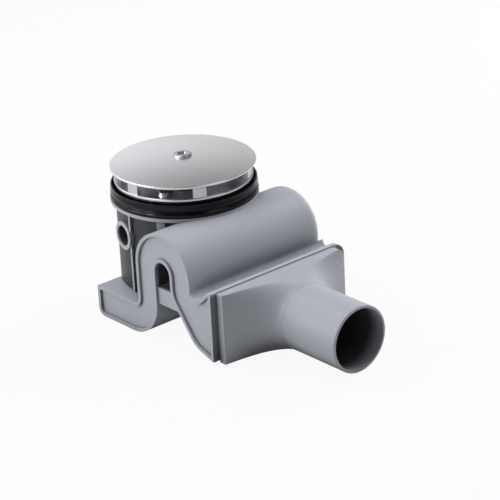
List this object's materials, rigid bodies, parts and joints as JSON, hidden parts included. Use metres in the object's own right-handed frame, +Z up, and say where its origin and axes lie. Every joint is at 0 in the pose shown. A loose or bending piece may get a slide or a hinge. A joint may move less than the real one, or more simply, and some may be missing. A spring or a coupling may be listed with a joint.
{
  "type": "shower trap",
  "caption": "Low shower tray trap: chrome cover on a windowed crown, lip seal, black inlet cup, grey S-channel with water seal, and a flared round outlet spigot.",
  "frame": {"origin": "on the inlet axis, at the plane where the tray rests on the lip seal", "axes": "+X towards the outlet, +Z up along the inlet axis, -Y towards the let-in side plate"},
  "size_m": [0.2416, 0.1292, 0.1189],
  "materials": {
    "chrome_cover": "bright chrome plate",
    "chrome_screw": "bright chrome plate",
    "chrome_crown": "bright chrome plate",
    "fibre": "pressed fibre",
    "brass": "turned brass",
    "clear_rubber": "soft clear rubber",
    "flat_rubber": "matt rubber",
    "seal_rubber": "glossy moulded rubber",
    "white_plastic": "moulded plastic",
    "stainless": "bright stainless steel",
    "stainless_washer": "bright stainless steel",
    "housing_grey": "moulded grey plastic",
    "cup_black": "moulded black plastic",
    "trap_grey": "moulded grey plastic",
    "plate_grey": "moulded grey plastic",
    "adapter_grey": "moulded grey plastic"
  },
  "bodies": {
    "root": {"cover_cap": "chrome_cover", "cap_screw": "chrome_screw", "cap_washer": "fibre", "cap_insert": "brass", "cap_cushion": "clear_rubber", "strainer_crown": "chrome_crown", "crown_gasket": "flat_rubber", "hair_strainer": "white_plastic", "flange_screws": "stainless", "flange_washers": "stainless_washer", "flange_inserts": "brass", "lip_seal": "seal_rubber", "inlet_housing": "housing_grey", "port_seal": "flat_rubber", "inlet_cup": "cup_black", "cup_gasket": "flat_rubber", "trap_body": "trap_grey", "side_plate": "plate_grey", "outlet_gasket": "flat_rubber", "outlet_adapter": "adapter_grey"}
  },
  "joints": []
}
